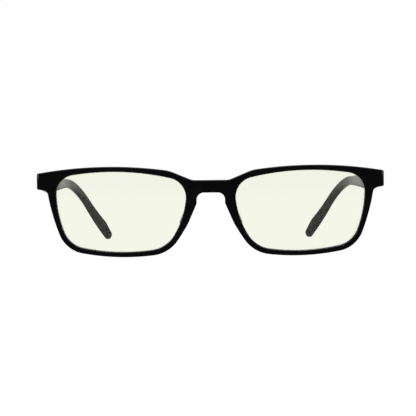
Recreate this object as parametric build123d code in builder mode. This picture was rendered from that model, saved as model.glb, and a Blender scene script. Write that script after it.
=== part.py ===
from build123d import *
import math
import os

# Blue light glasses with sprung hinges, standing unfolded on their rims and temple tips.
# Millimetres. +X is the wearer's left, +Y points back from the front to the ears, +Z is up.
# The origin is in the middle of the footprint, at the height of the surface they stand on.
# Every right-hand piece is the mirror image of its left-hand one.

# --- Overall ------------------------------------------------------------------------------
overall_depth = 151.0         # bridge's front face to the back of the temple tips
front_y = -overall_depth / 2  # foremost point of the front

# --- Front: openings ----------------------------------------------------------------------
lens_width = 50.7             # box that holds one opening
lens_height = 31.1
bridge_gap = 19.8             # between the two boxes
rim_width = 2.05              # rim around an opening, at top and bottom
bow_radius = 280.0            # plan curve of the front
front_thickness = 3.8

# Where the straight sides of an opening would cross, inwards from the corners of its box,
# how far each side bulges outwards, and how round each corner is.
corner_inset = {
    "top_nasal": (-0.17, 4.12),
    "top_temporal": (0.45, 2.19),
    "bottom_temporal": (5.52, 2.88),
    "bottom_nasal": (8.09, 1.63),
}
side_bulge = {"top": 3.18, "temporal": 2.08, "bottom": 2.18, "nasal": 2.82}
corner_round = {"top_nasal": 7.8, "top_temporal": 7.4, "bottom_temporal": 10.0, "bottom_nasal": 11.5}

# --- Front: bridge, brow, nose and endpieces ----------------------------------------------
bridge_drop = 3.35            # top of the bridge below the top of the openings
bridge_height = 4.9
bridge_flat = 7.1             # half length of the bridge's level top
bridge_fillet = 5.0
brow_start_in = 6.3           # where the brow line leaves the bridge, from the opening's box
brow_start_rise = 0.45
brow_bulge = 2.08
brow_fillet = 14.0
nose_gap = 11.0               # between the nose flanks under the bridge
nose_arch_fillet = 2.8
nose_flare_drop = 4.2         # where the flanks start to open out, below the bridge
nose_flare_fillet = 1.6
nose_flank_drop = 12.0        # where the flanks open out further, below the bridge
nose_flank_lean = 3.4         # and how far out from the arch's side
nose_flank_fillet = 12.0
nose_flank_bulge = 0.25
endpiece_reach = 7.75         # opening's box to the outer side of the endpiece
endpiece_width = 4.25
endpiece_depth = 7.2          # back of the endpiece behind the front face at the same place
endpiece_top_drop = 0.3       # below the top of the openings
endpiece_height = 6.2
endpiece_underside_rise = 0.65
endpiece_corner_round = 2.2   # vertical corner where the front turns back
inner_corner_round = 0.7      # between the rim's back and the endpiece's inner side
underside_fillet = 2.0
rim_side_bulge = 0.9
front_edge_round = 0.6
opening_edge_round = 0.65
back_edge_round = 0.5
back_opening_edge_round = 0.25

# --- Nose pads, moulded in one with the front ---------------------------------------------
pad_length = 9.5
pad_thickness = 2.4
pad_projection = 4.4
pad_splay = 12.0              # of the pad's face, opening towards the face
pad_taper = 3.0
pad_drop = 8.8                # pad's middle below the bridge
pad_inset = 1.5               # pad's middle from the nose flank, into the rim
pad_root = 1.6                # of the pad's root into the rim
pad_edge_round = 0.8

# --- Lenses -------------------------------------------------------------------------------
lens_thickness = 1.8
lens_recess = 0.85            # lens face behind the rim's face
groove_depth = 0.6
groove_clearance = 0.02
lens_bevel = 0.45

# --- Hinges -------------------------------------------------------------------------------
barrel_radius = 1.5
barrel_gap = 0.2              # between the barrel and the endpiece's inner side
barrel_relief = 0.3           # room in the temple around the barrel
knuckle_height = 1.8          # middle knuckle
hinge_height = 4.8
knuckle_gap = 0.05
screw_radius = 0.7
screw_clearance = 0.02        # in the leaf's knuckles
pivot_clearance = 0.05        # in the knuckle that turns
screw_head_radius = 1.15
screw_head_height = 0.5
screw_head_round = 0.17
screw_slot_width = 0.35
screw_slot_depth = 0.25
leaf_plate_thickness = 1.0
leaf_gap = 0.1                # leaf behind the round of the endpiece's inner corner
stud_radius = 0.5
stud_length = 1.5
stud_spacing = 2.8
stud_clearance = 0.02
tongue_width = 2.0
tongue_offset = 0.5           # tongue's inner side outwards from the pivot axis
tongue_clearance = 0.05
sled_start = 0.4              # tongue behind the pivot axis
rod_radius = 0.45
rod_clearance = 0.05
rivet_lip = 0.17              # of the rod's riveted end
rivet_height = 0.3
case_wall = 0.45              # either side of the tongue's guide
case_height = 3.6
case_length = 12.0
case_gap = 0.4                # case behind the barrel
case_edge_round = 0.4
case_end_wall = 0.9
pocket_clearance = 0.02
mouth_depth = 3.6             # tongue's guide in the case
tongue_stop_gap = 0.3
stop_thickness = 0.6
spring_length = 5.3
spring_wire_radius = 0.125
spring_turns = 7
spring_clearance = 0.1        # around the rod
chamber_clearance = 0.2       # around the spring
washer_lip = 0.05             # washer wider than the spring
washer_thickness = 0.5
washer_clearance = 0.01

# --- Temples ------------------------------------------------------------------------------
temple_gap = 0.2              # temple behind the endpiece
temple_root_thickness = 4.55
temple_root_height = 6.2
temple_thickness = 1.9        # from the sweep back to the tip
temple_belly_y = 25.0         # lowest point of the shank, behind the temple's front
temple_belly_drop = 2.3       # of the lower edge there
temple_belly_round = 200.0
sweep_start = 64.3            # where the inward sweep starts, forward of the tip's end
sweep_lean = 2.05             # how far the outer side leans in before the sweep
sweep_radius = 140.0
sweep_excess = 5.0            # degrees that the plan runs on past the tip
bend_run = 33.0               # ear bend to the tip's end, front to back
bend_height = 27.5
bend_width = 2.9              # height of the shank at the bend
bend_radius = 50.0
tip_end_radius = 1.9
tip_end_round = 1.8           # corners of the tip's end
crown_length = 6.0            # where the tip is widest, from the middle of the end
crown_rise = 3.45             # of the upper edge there, from the middle line
crown_round = 9.0
temple_edge_round = 0.65

# --- Places that follow -------------------------------------------------------------------
nasal_x = bridge_gap / 2
temporal_x = nasal_x + lens_width
side_x = temporal_x + endpiece_reach
lens_bottom = rim_width
lens_top = rim_width + lens_height
lens_middle = (lens_bottom + lens_top) / 2
bridge_top = lens_top - bridge_drop
bridge_bottom = bridge_top - bridge_height
endpiece_top = lens_top - endpiece_top_drop
endpiece_bottom = endpiece_top - endpiece_height
endpiece_inner_x = side_x - endpiece_width


def sag(radius, x):
    """How far an arc with its middle at x = 0 has fallen back at x."""
    return radius - math.sqrt(radius**2 - x**2)


pivot_x = endpiece_inner_x - barrel_gap - barrel_radius
pivot_y = front_y + sag(bow_radius, side_x) + endpiece_depth
hinge_z = endpiece_top - endpiece_height / 2
hinge_bottom = hinge_z - hinge_height / 2
hinge_top = hinge_z + hinge_height / 2
tongue_x = pivot_x + tongue_offset + tongue_width / 2  # middle of tongue, rod, spring and case
spring_outer_radius = rod_radius + spring_clearance + 2 * spring_wire_radius
chamber_radius = spring_outer_radius + chamber_clearance
case_width = tongue_width + 2 * (tongue_clearance + case_wall)
case_front = pivot_y + barrel_radius + case_gap
mouth_end = case_front + mouth_depth
spring_front = mouth_end + stop_thickness
washer_front = spring_front + spring_length
temple_front = pivot_y + temple_gap

# The straight-sided corners of the left opening, clockwise from the front.
opening_corner = {
    "top_nasal": (nasal_x + corner_inset["top_nasal"][0], lens_top - corner_inset["top_nasal"][1]),
    "top_temporal": (
        temporal_x - corner_inset["top_temporal"][0],
        lens_top - corner_inset["top_temporal"][1],
    ),
    "bottom_temporal": (
        temporal_x - corner_inset["bottom_temporal"][0],
        lens_bottom + corner_inset["bottom_temporal"][1],
    ),
    "bottom_nasal": (
        nasal_x + corner_inset["bottom_nasal"][0],
        lens_bottom + corner_inset["bottom_nasal"][1],
    ),
}
corner_names = list(opening_corner)


# --- Shared outlines ----------------------------------------------------------------------
def round_corner(sketch, corner, radius):
    """Fillet the sketch's vertex nearest to corner."""
    fillet(sketch.vertices().sort_by_distance(corner)[0], radius=radius)


def pushed_out(name, distance):
    """The opening's named corner once both sides that meet there have moved outwards."""
    place = corner_names.index(name)
    before = Vector(*opening_corner[corner_names[place - 1]])
    corner = Vector(*opening_corner[name])
    after = Vector(*opening_corner[corner_names[(place + 1) % len(corner_names)]])
    side_in = (corner - before).normalized().rotate(Axis.Z, 90)
    side_out = (after - corner).normalized().rotate(Axis.Z, 90)
    bisector = (side_in + side_out).normalized()
    moved = corner + bisector * (distance / bisector.dot(side_in))
    return (moved.X, moved.Y)


def opening_outline(growth):
    """Outline of the left opening, seen from the front and grown all round by growth."""
    corners = [pushed_out(name, growth) for name in corner_names]
    with BuildSketch() as opening:
        with BuildLine():
            for start, end, bulge in zip(corners, corners[1:] + corners[:1], side_bulge.values()):
                SagittaArc(start, end, bulge)
        make_face()
        for corner, name in zip(corners, corner_names):
            round_corner(opening, corner, corner_round[name] + growth)
    return opening.sketch


def lens_shell(growth):
    """Shell of the lens's sphere, cut to the groove's outline and grown all round by growth."""
    outer_radius = bow_radius - lens_recess + growth
    inner_radius = outer_radius - lens_thickness - 2 * growth
    centre = Vector(front_y + bow_radius, lens_middle)
    levels = (-lens_height, 0, lens_height)
    front_arc = [centre - Vector(math.sqrt(outer_radius**2 - z**2), -z) for z in levels]
    back_arc = [centre - Vector(math.sqrt(inner_radius**2 - z**2), -z) for z in levels]
    with BuildPart() as shell:
        with BuildSketch(Plane.YZ):
            with BuildLine():
                ThreePointArc(*front_arc)
                Line(front_arc[-1], back_arc[-1])
                ThreePointArc(*reversed(back_arc))
                Line(back_arc[0], front_arc[0])
            make_face()
        sphere_axis = Axis((0, front_y + bow_radius, 0), (0, 0, 1))
        revolve(axis=sphere_axis, revolution_arc=math.degrees(math.asin(side_x / inner_radius)))
        with BuildSketch(Plane.XZ):
            add(opening_outline(groove_depth + growth))
        extrude(amount=overall_depth, both=True, mode=Mode.INTERSECT)
    return shell.part


def bowed_face(part, radius):
    """The part's largest cylindrical face of a radius."""
    curved = part.faces().filter_by(GeomType.CYLINDER)
    return curved.filter_by(lambda face: math.isclose(face.radius, radius)).sort_by(SortBy.AREA)[-1]


def fill_between(x, y, z, mode=Mode.ADD):
    """Box from the lower to the upper value of each of x, y and z."""
    with Locations(((x[0] + x[1]) / 2, (y[0] + y[1]) / 2, (z[0] + z[1]) / 2)):
        Box(x[1] - x[0], y[1] - y[0], z[1] - z[0], mode=mode)


# --- Front frame --------------------------------------------------------------------------
brow_start = (nasal_x + brow_start_in, lens_top + brow_start_rise)
endpiece_corner = (side_x, endpiece_top)
endpiece_foot = (side_x, endpiece_bottom)
underside_corner = (endpiece_inner_x, endpiece_bottom - endpiece_underside_rise)
rim_low_temporal = pushed_out("bottom_temporal", rim_width)
rim_low_nasal = pushed_out("bottom_nasal", rim_width)
flank_corner = (nose_gap / 2 + nose_flank_lean, bridge_bottom - nose_flank_drop)
flare_corner = (nose_gap / 2, bridge_bottom - nose_flare_drop)
arch_corner = (nose_gap / 2, bridge_bottom)
bridge_corner = (bridge_flat, bridge_top)

with BuildSketch() as front_outline:
    with BuildLine():
        Polyline((0, bridge_top), bridge_corner, brow_start)
        SagittaArc(brow_start, endpiece_corner, brow_bulge)
        Polyline(endpiece_corner, endpiece_foot, underside_corner)
        SagittaArc(underside_corner, rim_low_temporal, rim_side_bulge)
        SagittaArc(rim_low_temporal, rim_low_nasal, side_bulge["bottom"])
        SagittaArc(rim_low_nasal, flank_corner, nose_flank_bulge)
        Polyline(flank_corner, flare_corner, arch_corner, (0, bridge_bottom), (0, bridge_top))
    make_face()
    round_corner(front_outline, bridge_corner, bridge_fillet)
    round_corner(front_outline, brow_start, brow_fillet)
    round_corner(front_outline, underside_corner, underside_fillet)
    round_corner(front_outline, rim_low_temporal, corner_round["bottom_temporal"] + rim_width)
    round_corner(front_outline, rim_low_nasal, corner_round["bottom_nasal"] + rim_width)
    round_corner(front_outline, flank_corner, nose_flank_fillet)
    round_corner(front_outline, flare_corner, nose_flare_fillet)
    round_corner(front_outline, arch_corner, nose_arch_fillet)
    add(opening_outline(0), mode=Mode.SUBTRACT)
    mirror(about=Plane.YZ)

# Plan of the front: a bowed band whose ends turn back to the hinges.
back_radius = bow_radius - front_thickness
band_end_y = front_y + sag(bow_radius, side_x)
band_inner_y = front_y + front_thickness + sag(back_radius, endpiece_inner_x)
half_x = side_x / 2
half_inner_x = endpiece_inner_x / 2
with BuildSketch() as front_plan:
    with BuildLine():
        ThreePointArc((0, front_y), (half_x, front_y + sag(bow_radius, half_x)), (side_x, band_end_y))
        Polyline((side_x, band_end_y), (side_x, pivot_y), (endpiece_inner_x, pivot_y))
        Line((endpiece_inner_x, pivot_y), (endpiece_inner_x, band_inner_y))
        ThreePointArc(
            (endpiece_inner_x, band_inner_y),
            (half_inner_x, front_y + front_thickness + sag(back_radius, half_inner_x)),
            (0, front_y + front_thickness),
        )
        Line((0, front_y + front_thickness), (0, front_y))
    make_face()
    round_corner(front_plan, (side_x, band_end_y), endpiece_corner_round)
    round_corner(front_plan, (endpiece_inner_x, band_inner_y), inner_corner_round)
    mirror(about=Plane.YZ)

# Middle of the left nose pad's root, on the nose flank, and the pad's own plane: its local x
# runs down along the flank and its normal points back and outwards.
flank_run = Vector(*flank_corner) - Vector(*flare_corner)
flank_middle = Vector(*flare_corner) + flank_run * ((pad_drop - nose_flare_drop) / -flank_run.Y)
pad_x = flank_middle.X + pad_inset
pad_y = front_y + front_thickness + sag(back_radius, pad_x) - pad_root
lean = math.atan2(flank_run.X, -flank_run.Y)
splay = math.radians(pad_splay)
pad_plane = Plane(
    origin=(pad_x, pad_y, flank_middle.Y),
    x_dir=(math.sin(lean), 0, -math.cos(lean)),
    z_dir=(math.sin(splay) * math.cos(lean), math.cos(splay), math.sin(splay) * math.sin(lean)),
)
with BuildPart() as nose_pad:
    with BuildSketch(pad_plane):
        SlotOverall(pad_length, pad_thickness)
    extrude(amount=pad_projection + pad_root, taper=pad_taper)
    fillet(nose_pad.faces().sort_by(Axis.Y)[-1].edges(), radius=pad_edge_round)

# Where the hinge leaf sits against the endpiece.
pivot = (pivot_x, pivot_y)
plate_back = pivot_y - barrel_radius - barrel_relief
plate_front = band_inner_y + inner_corner_round + leaf_gap
plate_inner_x = endpiece_inner_x - leaf_plate_thickness
stud_y = (plate_front + plate_back) / 2
knuckle_bottom = hinge_z - knuckle_height / 2
knuckle_top = hinge_z + knuckle_height / 2
stud_heights = (hinge_z - stud_spacing / 2, hinge_z + stud_spacing / 2)

groove = lens_shell(groove_clearance)
with BuildPart() as front_frame:
    with BuildSketch(Plane.XZ):
        add(front_outline.sketch)
    extrude(amount=overall_depth, both=True)
    with BuildSketch():
        add(front_plan.sketch)
    extrude(amount=overall_depth, mode=Mode.INTERSECT)
    for radius, outer_round, inner_round in (
        (bow_radius, front_edge_round, opening_edge_round),
        (back_radius, back_edge_round, back_opening_edge_round),
    ):
        rim_loop = bowed_face(front_frame, radius).outer_wire().edges()
        fillet([edge for edge in rim_loop if edge not in rim_loop.filter_by(Axis.Z)], radius=outer_round)
        openings = bowed_face(front_frame, radius).inner_wires()
        fillet([edge for opening in openings for edge in opening.edges()], radius=inner_round)
    add(nose_pad.part)
    add(mirror(nose_pad.part, about=Plane.YZ, mode=Mode.PRIVATE))
    add(groove, mode=Mode.SUBTRACT)
    add(mirror(groove, about=Plane.YZ, mode=Mode.PRIVATE), mode=Mode.SUBTRACT)
    for side in (-1, 1):
        for stud_z in stud_heights:
            with Locations((side * (endpiece_inner_x + stud_length / 2), stud_y, stud_z)):
                Cylinder(
                    stud_radius + stud_clearance, stud_length + 2 * stud_clearance,
                    rotation=(0, 90, 0), mode=Mode.SUBTRACT,
                )
front_frame.part.label = "front_frame"

# --- Lenses -------------------------------------------------------------------------------
with BuildPart() as lens_left:
    add(lens_shell(0))
    chamfer(lens_left.faces().sort_by(SortBy.AREA)[-2:].edges(), length=lens_bevel)
lens_left.part.label = "lens_left"

# --- Hinges: piece fixed to the front, and its screw ------------------------------------------
with BuildPart() as front_hinge_leaf_left:
    with BuildSketch(Plane.XY.offset(hinge_bottom)):
        with Locations(pivot):
            Circle(barrel_radius)
        with BuildLine():
            Polyline(
                (plate_inner_x, plate_back), (endpiece_inner_x, plate_back),
                (endpiece_inner_x, pivot_y), (plate_inner_x, pivot_y), close=True,
            )
        make_face()
    extrude(amount=hinge_height)
    fill_between(
        (pivot_x - barrel_radius, endpiece_inner_x),
        (plate_back, pivot_y + barrel_radius),
        (knuckle_bottom - knuckle_gap, knuckle_top + knuckle_gap),
        mode=Mode.SUBTRACT,
    )
    fill_between((plate_inner_x, endpiece_inner_x), (plate_front, plate_back), (hinge_bottom, hinge_top))
    with Locations((*pivot, hinge_z)):
        Cylinder(screw_radius + screw_clearance, hinge_height, mode=Mode.SUBTRACT)
    for stud_z in stud_heights:
        with BuildSketch(Plane.YZ.offset(endpiece_inner_x)):
            with Locations((stud_y, stud_z)):
                Circle(stud_radius)
        extrude(amount=stud_length)
front_hinge_leaf_left.part.label = "front_hinge_leaf_left"

with BuildPart() as hinge_screw_left:
    with BuildSketch(Plane.XY.offset(hinge_bottom)):
        with Locations(pivot):
            Circle(screw_radius)
    extrude(amount=hinge_height)
    with BuildSketch(Plane.XY.offset(hinge_top)):
        with Locations(pivot):
            Circle(screw_head_radius)
    extrude(amount=screw_head_height)
    fillet(hinge_screw_left.faces().sort_by(Axis.Z)[-1].edges(), radius=screw_head_round)
    screw_top = hinge_top + screw_head_height
    fill_between(
        (pivot_x - barrel_radius, pivot_x + barrel_radius),
        (pivot_y - screw_slot_width / 2, pivot_y + screw_slot_width / 2),
        (screw_top - screw_slot_depth, screw_top),
        mode=Mode.SUBTRACT,
    )
hinge_screw_left.part.label = "hinge_screw_left"

# --- Hinges: sled that turns on the screw, and what springs it into the temple ------------------
tongue_sides = (tongue_x - tongue_width / 2, tongue_x + tongue_width / 2)
tongue_back = mouth_end - tongue_stop_gap
rivet_front = washer_front + washer_thickness
rod_centre = (tongue_x, hinge_z)

with BuildPart() as hinge_sled_left:
    with BuildSketch(Plane.XY.offset(knuckle_bottom)):
        with Locations(pivot):
            Circle(barrel_radius)
    extrude(amount=knuckle_height)
    fill_between(tongue_sides, (pivot_y + sled_start, tongue_back), (knuckle_bottom, knuckle_top))
    with Locations((*pivot, hinge_z)):
        Cylinder(screw_radius + pivot_clearance, knuckle_height, mode=Mode.SUBTRACT)
    with BuildSketch(Plane.XZ.offset(-tongue_back)):
        with Locations(rod_centre):
            Circle(rod_radius)
    extrude(amount=tongue_back - rivet_front)
    with BuildSketch(Plane.XZ.offset(-rivet_front)):
        with Locations(rod_centre):
            Circle(rod_radius + rivet_lip)
    extrude(amount=-rivet_height)
hinge_sled_left.part.label = "hinge_sled_left"

with BuildPart() as spring_stop_left:
    with BuildSketch(Plane.XZ.offset(-mouth_end)):
        with Locations(rod_centre):
            Circle(chamber_radius)
            Circle(rod_radius + rod_clearance, mode=Mode.SUBTRACT)
    extrude(amount=-stop_thickness)
spring_stop_left.part.label = "spring_stop_left"

with BuildPart() as rod_washer_left:
    with BuildSketch(Plane.XZ.offset(-washer_front)):
        with Locations(rod_centre):
            Circle(spring_outer_radius + washer_lip)
            Circle(rod_radius + washer_clearance, mode=Mode.SUBTRACT)
    extrude(amount=-washer_thickness)
rod_washer_left.part.label = "rod_washer_left"

coil_radius = spring_outer_radius - spring_wire_radius
coil_length = spring_length - 2 * spring_wire_radius
coil_start = (tongue_x, spring_front + spring_wire_radius, hinge_z)
coil_pitch = coil_length / spring_turns
with BuildPart() as hinge_spring_left:
    with BuildLine():
        coil = Helix(coil_pitch, coil_length, coil_radius, center=coil_start, direction=(0, 1, 0))
    with BuildSketch(Plane(origin=coil @ 0, z_dir=coil % 0)):
        Circle(spring_wire_radius)
    sweep(path=coil, is_frenet=True)
hinge_spring_left.part.label = "hinge_spring_left"

case_back = case_front + case_length
case_sides = (tongue_x - case_width / 2, tongue_x + case_width / 2)
case_heights = (hinge_z - case_height / 2, hinge_z + case_height / 2)
mouth_sides = (tongue_sides[0] - tongue_clearance, tongue_sides[1] + tongue_clearance)
mouth_heights = (knuckle_bottom - tongue_clearance, knuckle_top + tongue_clearance)

with BuildPart() as hinge_case_left:
    fill_between(case_sides, (case_front, case_back), case_heights)
    inner_face = hinge_case_left.faces().sort_by(Axis.X)[0]
    fillet(inner_face.edges(), radius=case_edge_round)
    fill_between(mouth_sides, (case_front, mouth_end), mouth_heights, mode=Mode.SUBTRACT)
    with BuildSketch(Plane.XZ.offset(-mouth_end)):
        with Locations(rod_centre):
            Circle(chamber_radius)
    extrude(amount=mouth_end + case_end_wall - case_back, mode=Mode.SUBTRACT)
hinge_case_left.part.label = "hinge_case_left"

# --- Temples ------------------------------------------------------------------------------
tip = Vector(front_y + overall_depth - tip_end_radius, tip_end_radius)
bend = Vector(front_y + overall_depth - bend_run, bend_height)
drop = (tip - bend).normalized()
outwards = drop.rotate(Axis.Z, 90)
shank = (bend - Vector(temple_front, hinge_z)).normalized()
bisector = (outwards + shank.rotate(Axis.Z, 90)).normalized()
bend_offset = bisector * (bend_width / 2 / bisector.dot(outwards))
root_top = Vector(temple_front, hinge_z + temple_root_height / 2)
root_bottom = Vector(temple_front, hinge_z - temple_root_height / 2)
belly = Vector(temple_front + temple_belly_y, root_bottom.Y - temple_belly_drop)

# The temple from the side, clockwise from the top of its front, and each corner's round.
side_outline = {
    bend + bend_offset: bend_radius + bend_width / 2,
    tip - drop * crown_length + outwards * crown_rise: crown_round,
    tip + (drop + outwards) * tip_end_radius: tip_end_round,
    tip + (drop - outwards) * tip_end_radius: tip_end_round,
    bend - bend_offset: bend_radius - bend_width / 2,
    belly: temple_belly_round,
}

# The temple's plan: straight from the hinge, then swept inwards to the tip.
sweep_y = front_y + overall_depth - sweep_start
sweep_point = Vector(side_x - sweep_lean, sweep_y)
outer_run = (sweep_point - Vector(side_x, temple_front)).normalized()
inner_side = outer_run.rotate(Axis.Z, 90)
sweep_angle = math.degrees(math.asin(sweep_start / sweep_radius)) + sweep_excess
inner_sweep_point = sweep_point + inner_side * temple_thickness
inner_radius = sweep_radius - temple_thickness

with BuildPart() as temple_left:
    with BuildSketch(Plane.YZ):
        with BuildLine():
            FilletPolyline(root_top, *side_outline, root_bottom, radius=list(side_outline.values()))
            Line(root_bottom, root_top)
        make_face()
    extrude(amount=side_x + temple_root_thickness)
    with BuildSketch():
        with BuildLine():
            Line((side_x, temple_front), sweep_point)
            outer_arc = JernArc(sweep_point, outer_run, sweep_radius, sweep_angle)
            inner_arc = JernArc(inner_sweep_point, outer_run, inner_radius, sweep_angle)
            Line(outer_arc @ 1, inner_arc @ 1)
            root_inner = (side_x - temple_root_thickness, temple_front)
            TangentArc(inner_sweep_point, root_inner, tangent=-outer_run)
            Line(root_inner, (side_x, temple_front))
        make_face()
    extrude(amount=lens_top + rim_width, mode=Mode.INTERSECT)
    long_edges = [
        edge
        for edge in temple_left.edges()
        if edge not in temple_left.edges().filter_by(Axis.X) + temple_left.edges().filter_by(Axis.Z)
    ]
    fillet(long_edges, radius=temple_edge_round)
    fill_between(
        (case_sides[0], case_sides[1] + pocket_clearance),
        (case_front - pocket_clearance, case_back + pocket_clearance),
        (case_heights[0] - pocket_clearance, case_heights[1] + pocket_clearance),
        mode=Mode.SUBTRACT,
    )
    fill_between(
        (case_sides[0], mouth_sides[1]), (temple_front, case_front), mouth_heights, mode=Mode.SUBTRACT
    )
    with Locations((*pivot, hinge_z)):
        Cylinder(barrel_radius + barrel_relief, 2 * temple_root_height, mode=Mode.SUBTRACT)
temple_left.part.label = "temple_left"

# --- Right-hand pieces and the files --------------------------------------------------------
lefts = [
    lens_left, front_hinge_leaf_left, hinge_screw_left, hinge_sled_left, spring_stop_left,
    rod_washer_left, hinge_spring_left, hinge_case_left, temple_left,
]
os.makedirs("parts", exist_ok=True)
export_step(front_frame.part, "parts/front_frame.step")
for left in lefts:
    name = left.part.label
    with BuildPart() as right:
        mirror(left.part, about=Plane.YZ)
    right.part.label = name.replace("_left", "_right")
    export_step(left.part, f"parts/{name}.step")
    export_step(right.part, f"parts/{right.part.label}.step")
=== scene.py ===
"""Looks of a pair of blue light glasses: finishes, springs, camera, floor and light."""

import logging
import math
from dataclasses import dataclass
from enum import Enum
from typing import Any

import bpy
from mathutils import Euler, Matrix, Vector


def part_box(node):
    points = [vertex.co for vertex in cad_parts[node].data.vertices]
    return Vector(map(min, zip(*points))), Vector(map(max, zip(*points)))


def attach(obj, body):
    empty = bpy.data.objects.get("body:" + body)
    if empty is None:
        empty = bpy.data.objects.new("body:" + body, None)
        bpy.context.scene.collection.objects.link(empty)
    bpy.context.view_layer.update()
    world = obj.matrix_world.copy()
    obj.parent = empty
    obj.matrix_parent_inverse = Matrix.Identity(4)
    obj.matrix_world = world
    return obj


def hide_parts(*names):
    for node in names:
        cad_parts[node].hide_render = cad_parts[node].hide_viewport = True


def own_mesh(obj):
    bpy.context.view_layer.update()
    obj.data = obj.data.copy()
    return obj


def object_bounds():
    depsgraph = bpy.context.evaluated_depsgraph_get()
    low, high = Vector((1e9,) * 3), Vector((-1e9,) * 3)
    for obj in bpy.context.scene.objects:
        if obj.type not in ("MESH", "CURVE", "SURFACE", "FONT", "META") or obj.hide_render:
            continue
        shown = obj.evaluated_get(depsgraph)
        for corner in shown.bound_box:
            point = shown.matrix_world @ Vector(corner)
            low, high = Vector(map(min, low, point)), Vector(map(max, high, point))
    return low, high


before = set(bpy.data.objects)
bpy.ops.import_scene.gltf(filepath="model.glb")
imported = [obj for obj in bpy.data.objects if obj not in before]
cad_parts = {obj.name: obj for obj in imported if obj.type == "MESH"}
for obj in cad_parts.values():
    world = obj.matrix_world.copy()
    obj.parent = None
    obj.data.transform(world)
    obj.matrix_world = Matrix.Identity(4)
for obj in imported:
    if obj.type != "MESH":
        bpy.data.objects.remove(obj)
CAD_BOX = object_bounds()

LOG = logging.getLogger("glasses")
MM = 0.001


# --- Colour and node helpers ----------------------------------------------------------------
def linear(hex_colour: str) -> tuple[float, float, float, float]:
    """Turns an sRGB hex colour into linear light.

    Args:
        hex_colour: Six hex digits after a hash, such as "#1a2b3c".

    Returns:
        Linear red, green, blue and an alpha of 1.
    """
    values = [int(hex_colour[start:start + 2], 16) / 255 for start in (1, 3, 5)]
    red, green, blue = (v / 12.92 if v <= 0.04045 else ((v + 0.055) / 1.055) ** 2.4 for v in values)
    return (red, green, blue, 1.0)


def add_node(
    tree: bpy.types.NodeTree, kind: str, inputs: dict[str | int, Any] | None = None, **settings: Any
) -> bpy.types.Node:
    """Adds a node with its settings, and links or fills its inputs.

    Args:
        tree: Node tree that the node goes in.
        kind: Blender's name of the node type.
        inputs: Socket name or index to an output socket to link, or to a value to set.
        settings: Properties of the node itself.

    Returns:
        The new node.
    """
    node = tree.nodes.new(kind)
    for name, value in settings.items():
        setattr(node, name, value)
    for name, value in (inputs or {}).items():
        if isinstance(value, bpy.types.NodeSocket):
            tree.links.new(value, node.inputs[name])
        else:
            node.inputs[name].default_value = value
    return node


def new_material(name: str) -> bpy.types.Material:
    """Makes an empty node material.

    Args:
        name: The finish's name.

    Returns:
        A material whose tree holds nothing yet.
    """
    material = bpy.data.materials.new(name)
    material.use_nodes = True
    material.node_tree.nodes.clear()
    return material


# --- Finishes -------------------------------------------------------------------------------
@dataclass(frozen=True)
class MouldedBlackPlastic:
    """Polycarbonate, injection-moulded in a polished tool and left glossy.

    It gives the eye a deep black with sharp reflections, a faint orange-peel waviness, soft
    smudges where the gloss dulls, and hairline polishing marks.

    Attributes:
        name: Name of the material.
        black: The pigment's colour.
        smudge_black: The same where the surface is a little dusty.
        gloss: Roughness of the clean surface.
        smudge: Roughness where it has been handled.
        smudge_mm: Size of a smudge.
        peel_mm: Wavelength of the orange peel.
        peel_height_mm: Its depth.
        hairline_mm: Spacing of the polishing marks.
        run: Axis that the marks follow, as scale factors of the noise.
    """

    name: str
    black: str = "#060607"
    smudge_black: str = "#0b0b0c"
    gloss: float = 0.07
    smudge: float = 0.17
    smudge_mm: float = 9.0
    peel_mm: float = 2.6
    peel_height_mm: float = 0.004
    hairline_mm: float = 0.35
    run: tuple[float, float, float] = (0.08, 1.0, 1.0)

    def build(self) -> bpy.types.Material:
        """Returns the finished material."""
        material = new_material(self.name)
        tree = material.node_tree
        place = add_node(tree, "ShaderNodeTexCoord").outputs["Object"]
        smudges = add_node(
            tree, "ShaderNodeTexNoise",
            {
                "Vector": place, "Scale": 1 / (self.smudge_mm * MM), "Detail": 5.0,
                "Roughness": 0.62, "Distortion": 0.6,
            },
        )
        smudged = add_node(
            tree, "ShaderNodeMapRange",
            {"Value": smudges.outputs["Fac"], "From Min": 0.42, "From Max": 0.72},
            interpolation_type="SMOOTHSTEP",
        )
        run = add_node(tree, "ShaderNodeMapping", {"Vector": place, "Scale": self.run})
        hairlines = add_node(
            tree, "ShaderNodeTexNoise",
            {"Vector": run.outputs["Vector"], "Scale": 1 / (self.hairline_mm * MM), "Detail": 2.0},
        )
        handled = add_node(
            tree, "ShaderNodeMath",
            {0: smudged.outputs["Result"], 1: hairlines.outputs["Fac"]}, operation="MULTIPLY",
        )
        roughness = add_node(
            tree, "ShaderNodeMapRange",
            {"Value": handled.outputs["Value"], "From Max": 0.6, "To Min": self.gloss, "To Max": self.smudge},
        )
        colour = add_node(
            tree, "ShaderNodeMix",
            {"Factor": smudged.outputs["Result"], "A": linear(self.black), "B": linear(self.smudge_black)},
            data_type="RGBA",
        )
        ripples = add_node(
            tree, "ShaderNodeTexNoise", {"Vector": place, "Scale": 1 / (self.peel_mm * MM), "Detail": 1.0}
        )
        peel = add_node(
            tree, "ShaderNodeBump",
            {"Height": ripples.outputs["Fac"], "Strength": 1.0, "Distance": self.peel_height_mm * MM},
        )
        surface = add_node(
            tree, "ShaderNodeBsdfPrincipled",
            {
                "Base Color": colour.outputs[2], "Roughness": roughness.outputs["Result"],
                "Normal": peel.outputs["Normal"], "IOR": 1.52,
            },
        )
        add_node(tree, "ShaderNodeOutputMaterial", {"Surface": surface.outputs["BSDF"]})
        return material


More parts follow.
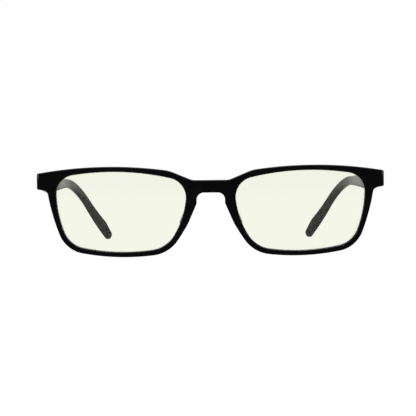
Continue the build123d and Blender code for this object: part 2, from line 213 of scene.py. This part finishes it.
@dataclass(frozen=True)
class FilterLens:
    """Cast polymer lens with a blue-light filter in it and a hard coat.

    It is almost clear, with a pale yellow-green cast where something white is behind it, and
    its smooth coat mirrors a little, most of all at a slant.

    Attributes:
        name: Name of the material.
        tint: What the filter lets through where light crosses both faces.
        gloss: Roughness of a clean coat.
        smear: Roughness of a fingerprint on it.
        smear_mm: Size of a fingerprint's smear.
    """

    name: str = "hard_coated_filter_lens"
    tint: str = "#f5f7e9"
    gloss: float = 0.0
    smear: float = 0.03
    smear_mm: float = 14.0

    def build(self) -> bpy.types.Material:
        """Returns the finished material."""
        material = new_material(self.name)
        tree = material.node_tree
        place = add_node(tree, "ShaderNodeTexCoord").outputs["Object"]
        smears = add_node(
            tree, "ShaderNodeTexNoise",
            {"Vector": place, "Scale": 1 / (self.smear_mm * MM), "Detail": 4.0, "Distortion": 1.2},
        )
        roughness = add_node(
            tree, "ShaderNodeMapRange",
            {
                "Value": smears.outputs["Fac"], "From Min": 0.5, "From Max": 0.8,
                "To Min": self.gloss, "To Max": self.smear,
            },
        )
        surface = add_node(
            tree, "ShaderNodeBsdfPrincipled",
            {
                "Base Color": linear(self.tint), "Roughness": roughness.outputs["Result"],
                "Transmission Weight": 1.0, "IOR": 1.5,
            },
        )
        add_node(tree, "ShaderNodeOutputMaterial", {"Surface": surface.outputs["BSDF"]})
        return material


@dataclass(frozen=True)
class WorkedMetal:
    """A small metal part of the hinge, stamped, turned or drawn, then tumbled.

    It gives the eye a soft grey mirror with fine marks along the way it was worked.

    Attributes:
        name: Name of the material.
        metal: Colour of its reflection.
        gloss: Roughness in the smooth places.
        dull: Roughness in the worn places.
        mark_mm: Spacing of the tool marks.
        mark_height_mm: Their depth.
        run: Scale factors that stretch the marks along one axis.
    """

    name: str
    metal: str
    gloss: float = 0.2
    dull: float = 0.38
    mark_mm: float = 0.25
    mark_height_mm: float = 0.002
    run: tuple[float, float, float] = (1.0, 0.15, 1.0)

    def build(self) -> bpy.types.Material:
        """Returns the finished material."""
        material = new_material(self.name)
        tree = material.node_tree
        place = add_node(tree, "ShaderNodeTexCoord").outputs["Object"]
        run = add_node(tree, "ShaderNodeMapping", {"Vector": place, "Scale": self.run})
        marks = add_node(
            tree, "ShaderNodeTexNoise",
            {
                "Vector": run.outputs["Vector"], "Scale": 1 / (self.mark_mm * MM),
                "Detail": 3.0, "Roughness": 0.6,
            },
        )
        roughness = add_node(
            tree, "ShaderNodeMapRange",
            {
                "Value": marks.outputs["Fac"], "From Min": 0.3, "From Max": 0.7,
                "To Min": self.gloss, "To Max": self.dull,
            },
        )
        bump = add_node(
            tree, "ShaderNodeBump",
            {"Height": marks.outputs["Fac"], "Strength": 1.0, "Distance": self.mark_height_mm * MM},
        )
        surface = add_node(
            tree, "ShaderNodeBsdfPrincipled",
            {
                "Base Color": linear(self.metal), "Metallic": 1.0, "Roughness": roughness.outputs["Result"],
                "Normal": bump.outputs["Normal"],
            },
        )
        add_node(tree, "ShaderNodeOutputMaterial", {"Surface": surface.outputs["BSDF"]})
        return material


class Finish(Enum):
    """The finishes that the pieces choose from."""

    FRONT = MouldedBlackPlastic("gloss_moulded_polycarbonate")
    TEMPLE = MouldedBlackPlastic("satin_moulded_polycarbonate", gloss=0.16, smudge=0.3, run=(1.0, 0.06, 1.0))
    LENS = FilterLens()
    HINGE = WorkedMetal("stamped_nickel_silver", "#b8b6b0")
    SCREW = WorkedMetal("turned_steel", "#cfcfd2", gloss=0.12, dull=0.25, run=(1.0, 1.0, 0.3))
    SPRING = WorkedMetal("drawn_spring_steel", "#a9abb0", gloss=0.18, dull=0.3)


class Workshop:
    """Makes each finish once and puts it on pieces."""

    def __init__(self) -> None:
        """Starts with no finish made."""
        self.made: dict[Finish, bpy.types.Material] = {}

    def dress(self, piece: bpy.types.Object, finish: Finish) -> None:
        """Gives a piece one finish all over.

        Args:
            piece: Mesh object to dress.
            finish: The finish that it gets.
        """
        if finish not in self.made:
            self.made[finish] = finish.value.build()
        if not piece.material_slots:
            piece.data.materials.append(self.made[finish])
        for slot in piece.material_slots:
            slot.material = self.made[finish]


# --- The object -----------------------------------------------------------------------------
class Side(Enum):
    """The wearer's two sides."""

    LEFT = "left"
    RIGHT = "right"


def deselect() -> None:
    """Leaves object mode with nothing selected."""
    if bpy.context.object and bpy.context.object.mode != "OBJECT":
        bpy.ops.object.mode_set(mode="OBJECT")
    bpy.ops.object.select_all(action="DESELECT")


def welded_copy(node: str, name: str, smooth_degrees: float) -> bpy.types.Object:
    """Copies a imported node, joins its loose triangles and shades it smoothly.

    Args:
        node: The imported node's name.
        name: Name of the copy.
        smooth_degrees: Edges sharper than this stay sharp.

    Returns:
        The copy, at the origin, with its place in its mesh.
    """
    deselect()
    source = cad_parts[node]
    mesh = source.data.copy()
    copy = bpy.data.objects.new(name, mesh)
    bpy.context.scene.collection.objects.link(copy)
    copy.select_set(True)
    bpy.context.view_layer.objects.active = copy
    bpy.ops.object.mode_set(mode="EDIT")
    bpy.ops.mesh.select_all(action="SELECT")
    bpy.ops.mesh.remove_doubles(threshold=0.002 * MM)
    bpy.ops.mesh.customdata_custom_splitnormals_clear()
    bpy.ops.object.mode_set(mode="OBJECT")
    bpy.ops.object.shade_smooth_by_angle(angle=math.radians(smooth_degrees))
    return copy


@dataclass
class Front:
    """The front: moulding and two lenses, with the hinge leaves and screws fixed to it.

    Attributes:
        shop: Where finishes come from.
        smooth_degrees: Edges of the moulding sharper than this stay sharp.
    """

    shop: Workshop
    smooth_degrees: float = 28.0

    def build(self) -> None:
        """Makes and dresses the front's pieces."""
        moulding = welded_copy("front_frame", "front_moulding", self.smooth_degrees)
        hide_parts("front_frame")
        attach(moulding, "front")
        self.shop.dress(moulding, Finish.FRONT)
        LOG.info("front moulding: %d faces", len(moulding.data.polygons))
        for side in Side:
            lens = welded_copy(f"lens_{side.value}", f"lens_{side.value}_clear", self.smooth_degrees)
            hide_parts(f"lens_{side.value}")
            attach(lens, "front")
            self.shop.dress(lens, Finish.LENS)
            self.shop.dress(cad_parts[f"front_hinge_leaf_{side.value}"], Finish.HINGE)
            self.shop.dress(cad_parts[f"hinge_screw_{side.value}"], Finish.SCREW)
            LOG.info("%s lens, hinge leaf and screw", side.value)


@dataclass
class Temple:
    """One temple with its hinge case, sled, stop, washer and spring.

    Attributes:
        side: Which side it is on.
        shop: Where finishes come from.
        smooth_degrees: Edges of the moulding sharper than this stay sharp.
        wire_radius: Half the spring wire's thickness, in metres.
        turns: Turns of the spring.
        wire_sides: Sides of the wire's section.
        steps: Steps around one turn.
        travel: How far the spring shortens, in metres; not used.
    """

    side: Side
    shop: Workshop
    smooth_degrees: float = 28.0
    wire_radius: float = 0.125 * MM
    turns: int = 7
    wire_sides: int = 10
    steps: int = 32
    travel: float = 1.2 * MM

    def build(self) -> None:
        """Makes and dresses the temple's pieces."""
        side = self.side.value
        arm = welded_copy(f"temple_{side}", f"temple_{side}_moulding", self.smooth_degrees)
        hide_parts(f"temple_{side}")
        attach(arm, f"temple_{side}")
        self.shop.dress(arm, Finish.TEMPLE)
        for part in ("hinge_case", "hinge_sled", "spring_stop", "rod_washer"):
            self.shop.dress(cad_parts[f"{part}_{side}"], Finish.HINGE)
        spring = self.spring()
        counts = (len(arm.data.polygons), len(spring.data.polygons))
        LOG.info("%s temple: %d faces, spring: %d faces", side, *counts)

    def spring(self) -> bpy.types.Object:
        """Winds the coil spring between the stop and the washer.

        Returns:
            The spring, wound in place of the imported one and attached to the temple.
        """
        side = self.side.value
        low, high = (Vector(corner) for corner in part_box(f"hinge_spring_{side}"))
        centre = (low + high) / 2
        coil_radius = (high.x - low.x) / 2 - self.wire_radius
        length = (high.y - low.y) - 2 * self.wire_radius
        deselect()
        bpy.ops.mesh.primitive_circle_add(
            vertices=self.wire_sides, radius=self.wire_radius, fill_type="NOTHING",
            location=(coil_radius, 0.0, 0.0), rotation=(math.pi / 2, 0.0, 0.0),
        )
        spring = bpy.context.object
        spring.name = f"coil_spring_{side}"
        bpy.ops.object.transform_apply(location=True, rotation=True, scale=True)
        winding = spring.modifiers.new("winding", "SCREW")
        winding.axis = "Z"
        winding.angle = 2 * math.pi
        winding.iterations = self.turns
        winding.screw_offset = length / self.turns
        winding.steps = self.steps
        winding.render_steps = self.steps
        winding.use_merge_vertices = False
        bpy.ops.object.modifier_apply(modifier="winding")
        bpy.ops.object.mode_set(mode="EDIT")
        bpy.ops.mesh.select_all(action="DESELECT")
        bpy.ops.mesh.select_mode(type="EDGE")
        bpy.ops.mesh.select_non_manifold()
        bpy.ops.mesh.fill_holes(sides=self.wire_sides + 1)
        bpy.ops.mesh.select_all(action="SELECT")
        bpy.ops.mesh.normals_make_consistent(inside=False)
        bpy.ops.object.mode_set(mode="OBJECT")
        lay_down = Matrix.Translation(centre) @ Matrix.Rotation(-math.pi / 2, 4, "X")
        spring.data.transform(lay_down @ Matrix.Translation((0.0, 0.0, -length / 2)))
        bpy.ops.object.shade_smooth_by_angle(angle=math.radians(self.smooth_degrees))
        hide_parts(f"hinge_spring_{side}")
        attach(spring, f"temple_{side}")
        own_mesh(spring)
        self.shop.dress(spring, Finish.SPRING)
        return spring


# --- Camera, floor and light ------------------------------------------------------------------
@dataclass
class Studio:
    """White sweep, soft light from above and behind, and a long lens in front.

    Attributes:
        distance: Camera to the front's endpieces, in metres.
        height: Camera above the table.
        aside: Camera's place across, from the middle.
        pitch: Degrees that the camera looks down.
        yaw: Degrees that it turns towards the wearer's left.
        roll: Degrees that it leans, clockwise as seen from behind it.
        focal: Focal length in millimetres on a sensor 36 mm wide.
        endpiece_back: How far the endpieces lie behind the front's foremost point.
        floor_half: Half the floor's width.
        floor_gap: Floor below the glasses, so that the two faces don't meet.
        floor_colour: The floor's own colour.
        floor_glow: How brightly the floor is lit from below, as a light table is.
    """

    distance: float = 0.620
    height: float = 0.0376
    aside: float = -0.0050
    pitch: float = 1.745
    yaw: float = 0.361
    roll: float = 0.61
    focal: float = 136.7
    endpiece_back: float = 0.008
    floor_half: float = 3.0
    floor_gap: float = 0.05 * MM
    floor_colour: str = "#4a4a4a"
    floor_glow: float = 0.985

    def camera(self) -> None:
        """Places the camera and makes it the scene's own."""
        data = bpy.data.cameras.new("portrait_camera")
        data.lens = self.focal
        data.sensor_width = 36.0
        data.clip_start = 0.01
        camera = bpy.data.objects.new("portrait_camera", data)
        bpy.context.scene.collection.objects.link(camera)
        low, _ = CAD_BOX
        place = Vector((self.aside, low[1] + self.endpiece_back - self.distance, low[2] + self.height))
        aim = Euler((math.radians(90 - self.pitch), 0.0, math.radians(-self.yaw))).to_matrix()
        lean = Matrix.Rotation(math.radians(-self.roll), 3, "Z")
        camera.matrix_world = Matrix.Translation(place) @ (aim @ lean).to_4x4()
        bpy.context.scene.camera = camera

    def floor(self) -> None:
        """Lays the pale floor that the glasses stand on."""
        deselect()
        table = CAD_BOX[0][2] - self.floor_gap
        bpy.ops.mesh.primitive_plane_add(size=2 * self.floor_half, location=(0.0, 0.0, table))
        floor = bpy.context.object
        floor.name = "floor"
        material = new_material("matt_white_card")
        tree = material.node_tree
        surface = add_node(
            tree, "ShaderNodeBsdfPrincipled",
            {
                "Base Color": linear(self.floor_colour), "Roughness": 0.9, "Specular IOR Level": 0.0,
                "Emission Color": (1.0, 1.0, 1.0, 1.0), "Emission Strength": self.floor_glow,
            },
        )
        add_node(tree, "ShaderNodeOutputMaterial", {"Surface": surface.outputs["BSDF"]})
        floor.data.materials.append(material)
        floor.visible_glossy = False

    def world(self) -> None:
        """Fills the room: white to the eye, bright behind and above, dark behind the camera."""
        world = bpy.data.worlds.new("white_room")
        bpy.context.scene.world = world
        world.use_nodes = True
        tree = world.node_tree
        tree.nodes.clear()
        way = add_node(tree, "ShaderNodeTexCoord").outputs["Generated"]
        axes = add_node(tree, "ShaderNodeSeparateXYZ", {"Vector": way})
        behind = add_node(
            tree, "ShaderNodeMapRange",
            {"Value": axes.outputs["Y"], "From Min": 0.68, "From Max": 1.0, "To Min": 0.05, "To Max": 0.65},
            interpolation_type="SMOOTHSTEP",
        )
        above = add_node(
            tree, "ShaderNodeMapRange",
            {"Value": axes.outputs["Z"], "From Min": 0.15, "From Max": 0.9, "To Min": 0.0, "To Max": 0.1},
            interpolation_type="SMOOTHSTEP",
        )
        glow = add_node(
            tree, "ShaderNodeMath", {0: behind.outputs["Result"], 1: above.outputs["Result"]}, operation="ADD"
        )
        path = add_node(tree, "ShaderNodeLightPath")
        seen = add_node(
            tree, "ShaderNodeMath",
            {0: path.outputs["Is Camera Ray"], 1: path.outputs["Is Transmission Ray"]}, operation="MAXIMUM",
        ).outputs["Value"]
        strength = add_node(
            tree, "ShaderNodeMix", {"Factor": seen, "A": glow.outputs["Value"], "B": 1.0}, data_type="FLOAT"
        )
        light = add_node(
            tree, "ShaderNodeBackground", {"Color": (1.0, 1.0, 1.0, 1.0), "Strength": strength.outputs[0]}
        )
        add_node(tree, "ShaderNodeOutputWorld", {"Surface": light.outputs["Background"]})

    def softbox(
        self, name: str, place: tuple[float, float, float], size: tuple[float, float], watts: float
    ) -> None:
        """Hangs a soft rectangular light that points at the glasses.

        Args:
            name: The light's name.
            place: Its middle, in metres.
            size: Its width and height, in metres.
            watts: Its power.
        """
        data = bpy.data.lights.new(name, "AREA")
        data.shape = "RECTANGLE"
        data.size, data.size_y = size
        data.energy = watts
        lamp = bpy.data.objects.new(name, data)
        bpy.context.scene.collection.objects.link(lamp)
        lamp.location = place
        lamp.rotation_euler = (Vector((0.0, 0.0, 0.02)) - Vector(place)).to_track_quat("-Z", "Y").to_euler()

    def build(self) -> None:
        """Sets up the whole studio."""
        self.camera()
        self.floor()
        self.world()
        self.softbox("overhead_softbox", (0.0, 0.25, 1.3), (1.6, 1.2), 10.0)
        for name, side in (("left_softbox", 1), ("right_softbox", -1)):
            self.softbox(name, (side * 1.1, 0.15, 0.45), (0.8, 0.8), 3.0)
        bpy.context.scene.view_settings.view_transform = "Standard"
        LOG.info("studio: camera, floor, room and softboxes")


def main() -> None:
    """Builds the studio and the object's pieces."""
    logging.basicConfig(level=logging.INFO, format="%(name)s: %(message)s")
    Studio().build()
    shop = Workshop()
    Front(shop).build()
    for side in Side:
        Temple(side, shop).build()


if __name__ == "__main__":
    main()
